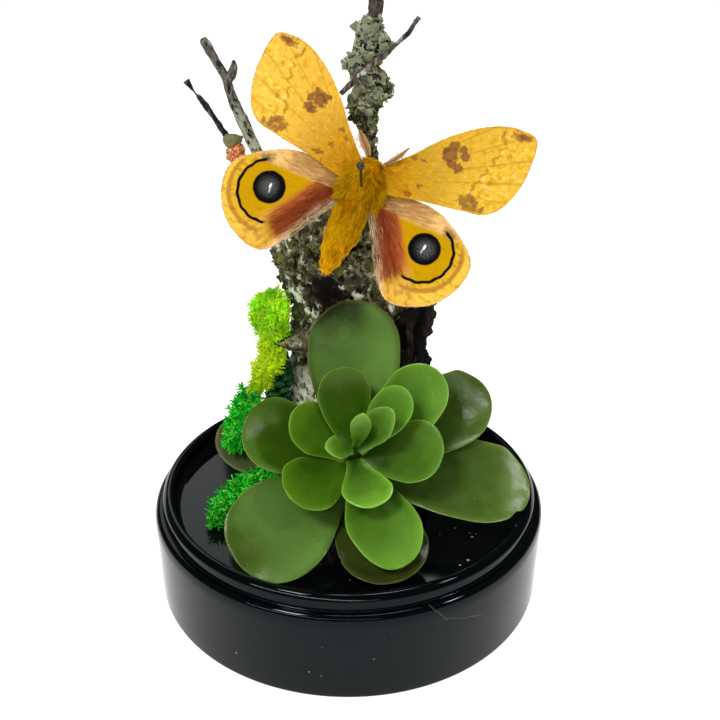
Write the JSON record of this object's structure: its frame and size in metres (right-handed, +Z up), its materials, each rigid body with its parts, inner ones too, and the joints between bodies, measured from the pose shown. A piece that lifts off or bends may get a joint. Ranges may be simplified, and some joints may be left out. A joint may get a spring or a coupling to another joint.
{
  "type": "mounted moth display",
  "caption": "Pinned yellow moth with eye-spotted hindwings in front of lichened wood, with a succulent and moss, on a round black base with a ledge for a dome.",
  "frame": {"origin": "centre of the base's flat underside", "axes": "+Z up along the base's axis, -Y towards the front, where the moth's upper side faces, +X to the viewer's right"},
  "size_m": [0.1, 0.1, 0.15],
  "materials": {
    "base_black": "glossy black",
    "bark": "rough bark with grey-green lichen",
    "grey_bark": "grey lichened bark",
    "dark_twig": "matt dark bark",
    "dark_bark": "rough dark brown bark",
    "bud_olive": "satin olive, plant tissue",
    "bud_coral": "matt coral, crumbly dried petals",
    "moss_lime": "bright yellow-green preserved moss",
    "moss_green": "bright green preserved moss",
    "bead_green": "satin dark green plant tissue",
    "leaf_green": "waxy green plant tissue",
    "moth_fur": "golden yellow fur",
    "wing_scales": "golden yellow wing scales with brown, red and black markings",
    "antenna": "feathery pinkish tan",
    "pin_black": "black enamelled steel"
  },
  "bodies": {
    "root": {"base": "base_black", "trunk": "bark", "central_branch": "bark", "cross_twig": "dark_twig", "left_branch": "grey_bark", "thin_twig": "dark_twig", "bark_slab": "dark_bark", "bud_cap": "bud_olive", "bud_tuft": "bud_coral", "moss_upper": "moss_lime", "moss_middle": "moss_green", "moss_floor": "moss_green", "bead_plant": "bead_green", "succulent_stem": "leaf_green", "leaf_01": "leaf_green", "leaf_02": "leaf_green", "leaf_03": "leaf_green", "leaf_04": "leaf_green", "leaf_05": "leaf_green", "leaf_06": "leaf_green", "leaf_07": "leaf_green", "leaf_08": "leaf_green", "leaf_09": "leaf_green", "leaf_10": "leaf_green", "leaf_11": "leaf_green", "leaf_12": "leaf_green", "leaf_13": "leaf_green", "leaf_14": "leaf_green", "leaf_15": "leaf_green", "leaf_16": "leaf_green", "leaf_17": "leaf_green", "leaf_18": "leaf_green", "moth_body": "moth_fur", "forewing_left": "wing_scales", "forewing_right": "wing_scales", "hindwing_left": "wing_scales", "hindwing_right": "wing_scales", "antenna_left": "antenna", "antenna_right": "antenna", "pin": "pin_black"}
  },
  "joints": []
}
